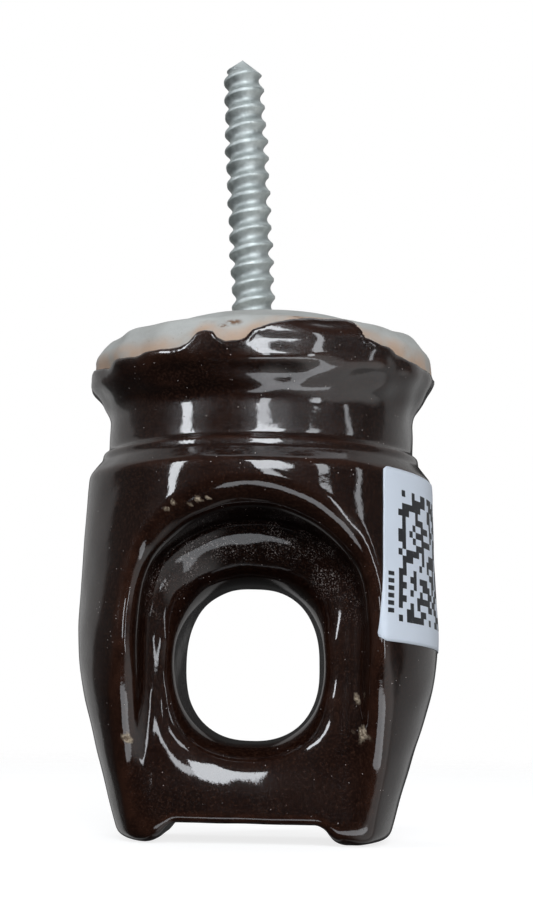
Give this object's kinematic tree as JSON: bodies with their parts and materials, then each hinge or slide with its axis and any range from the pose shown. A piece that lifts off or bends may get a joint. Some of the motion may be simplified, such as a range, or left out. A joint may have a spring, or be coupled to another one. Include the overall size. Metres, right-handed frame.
{
  "type": "fence insulator",
  "caption": "Screw-in glazed porcelain insulator with an oblong wire eye, a tie groove and a wood screw cemented into its base.",
  "frame": {"origin": "centre of the flat seat face on the unglazed base, where it bears on the post", "axes": "+Z along the porcelain's axis out of the base, the way the screw points; the wire eye runs through along Y; X is across the two feet"},
  "size_m": [0.0494, 0.0478, 0.1097],
  "materials": {
    "bisque": "unglazed, matt, off-white",
    "brown_glaze": "high-gloss dark brown glaze",
    "cement": "matt, sandy",
    "zinc": "zinc plated, satin",
    "paper": "white coated paper with a black pattern"
  },
  "bodies": {
    "root": {"porcelain_body": "bisque", "glaze_coat": "brown_glaze", "cement_plug": "cement", "lag_screw": "zinc", "product_label": "paper"}
  },
  "joints": []
}
